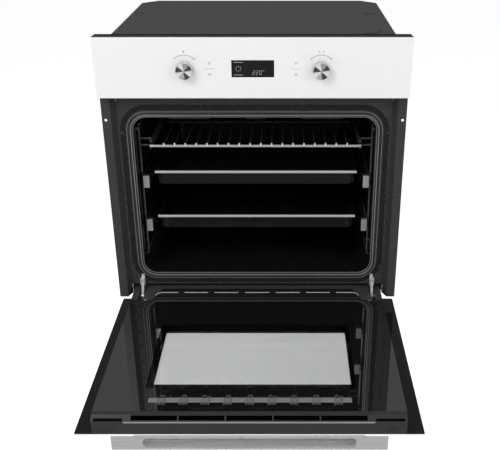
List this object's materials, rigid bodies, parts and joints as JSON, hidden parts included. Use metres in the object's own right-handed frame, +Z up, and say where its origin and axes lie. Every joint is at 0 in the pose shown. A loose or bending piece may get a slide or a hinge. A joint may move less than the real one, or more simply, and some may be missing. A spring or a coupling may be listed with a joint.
{
  "type": "wall oven",
  "caption": "Built-in single wall oven with a pale glass front, its drop-down door open, and trays and a wire rack inside.",
  "frame": {"origin": "on the shelf the oven stands on, half way across its width, in the plane of the cabinet's front edges", "axes": "+X to the viewer's right when facing the front, +Y into the cabinet, +Z up"},
  "size_m": [0.595, 0.986, 0.616],
  "materials": {
    "front_glass": "gloss",
    "clear_glass": "gloss",
    "printed_glass": "gloss",
    "zinc_sheet": "satin",
    "front_enamel": "satin",
    "cavity_enamel": "gloss",
    "trim_paint": "satin",
    "bright_steel": "polished",
    "plain_steel": "satin",
    "handle_alloy": "brushed",
    "grey_plastic": "matte",
    "display_black": "gloss",
    "seal_rubber": "matte",
    "mineral_wool": "matte",
    "lamp_glass": "gloss",
    "heater_steel": "satin"
  },
  "bodies": {
    "chassis": {"front_frame": "front_enamel", "blower_shelf": "zinc_sheet", "side_panel_left": "zinc_sheet", "side_panel_right": "zinc_sheet", "base_panel": "zinc_sheet", "rear_panel": "zinc_sheet", "top_cover": "zinc_sheet", "rear_cover": "zinc_sheet", "side_trim_left": "trim_paint", "side_trim_right": "trim_paint", "cavity_wrap": "cavity_enamel", "cavity_back": "cavity_enamel", "insulation": "mineral_wool", "door_seal": "seal_rubber", "fan_baffle": "cavity_enamel", "lamp_lens": "lamp_glass", "fan_motor": "plain_steel", "ring_element": "heater_steel", "grill_element": "heater_steel", "bottom_element": "heater_steel", "blower_housing": "grey_plastic", "blower_motor": "plain_steel", "terminal_block": "grey_plastic", "panel_glass": "front_glass", "panel_housing": "grey_plastic", "display_module": "display_black", "mode_switch": "grey_plastic", "temperature_switch": "grey_plastic", "rack_ladder_left": "bright_steel", "rack_ladder_right": "bright_steel", "upper_fixed_rails": "bright_steel", "lower_fixed_rails": "bright_steel", "hinge_arm_left": "plain_steel", "hinge_arm_right": "plain_steel"},
    "door": {"door_outer_glass": "front_glass", "door_middle_glass": "clear_glass", "door_inner_glass": "printed_glass", "door_side_left": "plain_steel", "door_side_right": "plain_steel", "door_top_trim": "grey_plastic", "door_bottom_trim": "plain_steel", "handle": "handle_alloy", "handle_screws": "plain_steel", "hinge_channel_left": "plain_steel", "hinge_channel_right": "plain_steel"},
    "left_trim_clip": {"trim_clip_left": "grey_plastic"},
    "right_trim_clip": {"trim_clip_right": "grey_plastic"},
    "left_hinge_lock": {"hinge_lock_left": "plain_steel"},
    "right_hinge_lock": {"hinge_lock_right": "plain_steel"},
    "upper_tray_body": {"upper_tray": "cavity_enamel", "upper_sliding_rail_left": "bright_steel", "upper_sliding_rail_right": "bright_steel"},
    "lower_tray_body": {"lower_tray": "cavity_enamel", "lower_sliding_rail_left": "bright_steel", "lower_sliding_rail_right": "bright_steel"},
    "wire_rack_body": {"wire_rack": "bright_steel"},
    "mode_knob_body": {"mode_knob": "handle_alloy"},
    "temperature_knob_body": {"temperature_knob": "handle_alloy"},
    "fan_body": {"convection_fan": "plain_steel"},
    "blower_body": {"blower_wheel": "grey_plastic"}
  },
  "joints": [
    {"name": "door_hinge", "type": "hinge", "parent": "chassis", "child": "door", "pos_m": [0, 0.001, 0.035], "axis": [-1, 0, 0], "range_deg": [0, 90]},
    {"name": "left_trim_clip_press", "type": "slide", "parent": "door", "child": "left_trim_clip", "axis": [0, 1, 0], "range_m": [0, 0.002], "stiffness_N_per_m": 1500},
    {"name": "right_trim_clip_press", "type": "slide", "parent": "door", "child": "right_trim_clip", "axis": [0, 1, 0], "range_m": [0, 0.002], "stiffness_N_per_m": 1500},
    {"name": "left_hinge_lock_turn", "type": "hinge", "parent": "chassis", "child": "left_hinge_lock", "pos_m": [-0.248, 0.012, 0.06], "axis": [-1, 0, 0], "range_deg": [-90, 0]},
    {"name": "right_hinge_lock_turn", "type": "hinge", "parent": "chassis", "child": "right_hinge_lock", "pos_m": [0.248, 0.012, 0.06], "axis": [-1, 0, 0], "range_deg": [-90, 0]},
    {"name": "upper_tray_slide", "type": "slide", "parent": "chassis", "child": "upper_tray_body", "axis": [0, 1, 0], "range_m": [-0.3, 0]},
    {"name": "lower_tray_slide", "type": "slide", "parent": "chassis", "child": "lower_tray_body", "axis": [0, 1, 0], "range_m": [-0.3, 0]},
    {"name": "rack_slide", "type": "slide", "parent": "chassis", "child": "wire_rack_body", "axis": [0, 1, 0], "range_m": [-0.3, 0]},
    {"name": "mode_knob_turn", "type": "hinge", "parent": "chassis", "child": "mode_knob_body", "pos_m": [-0.128, -0.024, 0.533], "axis": [0, -1, 0], "continuous": true},
    {"name": "temperature_knob_turn", "type": "hinge", "parent": "chassis", "child": "temperature_knob_body", "pos_m": [0.128, -0.024, 0.533], "axis": [0, -1, 0], "continuous": true},
    {"name": "convection_fan_spin", "type": "hinge", "parent": "chassis", "child": "fan_body", "pos_m": [0, 0.423, 0.252], "axis": [0, -1, 0], "continuous": true},
    {"name": "blower_wheel_spin", "type": "hinge", "parent": "chassis", "child": "blower_body", "pos_m": [0, 0.3, 0.49], "axis": [0, 0, 1], "continuous": true}
  ]
}
